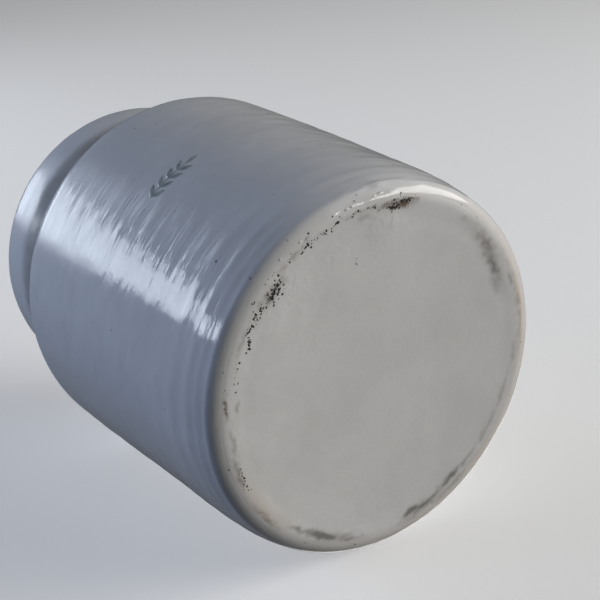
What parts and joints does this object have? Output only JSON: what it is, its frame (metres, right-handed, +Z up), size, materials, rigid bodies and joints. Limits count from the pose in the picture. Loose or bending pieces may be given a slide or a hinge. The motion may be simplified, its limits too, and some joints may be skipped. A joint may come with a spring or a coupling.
{
  "type": "apothecary jar",
  "caption": "Hand-thrown white-glazed apothecary jar with a flat bare base, soft shoulder, tie groove, rolled rim and a lift-out cork stopper.",
  "frame": {"origin": "centre of the flat base", "axes": "+Z up the jar's axis towards the mouth; +X and +Y are square to it, and the painted mark sits 12 degrees past +Y"},
  "size_m": [0.1076, 0.1076, 0.1395],
  "materials": {
    "clay": "matte",
    "glaze": "gloss",
    "lining": "gloss",
    "paint": "gloss",
    "grit": "matte",
    "cork": "matte"
  },
  "bodies": {
    "jar": {"clay_body": "clay", "outer_glaze": "glaze", "inner_glaze": "lining", "brush_mark": "paint", "kiln_grit": "grit"},
    "stopper": {"cork_stopper": "cork"}
  },
  "joints": [
    {"name": "stopper_lift", "type": "slide", "parent": "jar", "child": "stopper", "axis": [0, 0, 1], "range_m": [0, 0.06]}
  ]
}
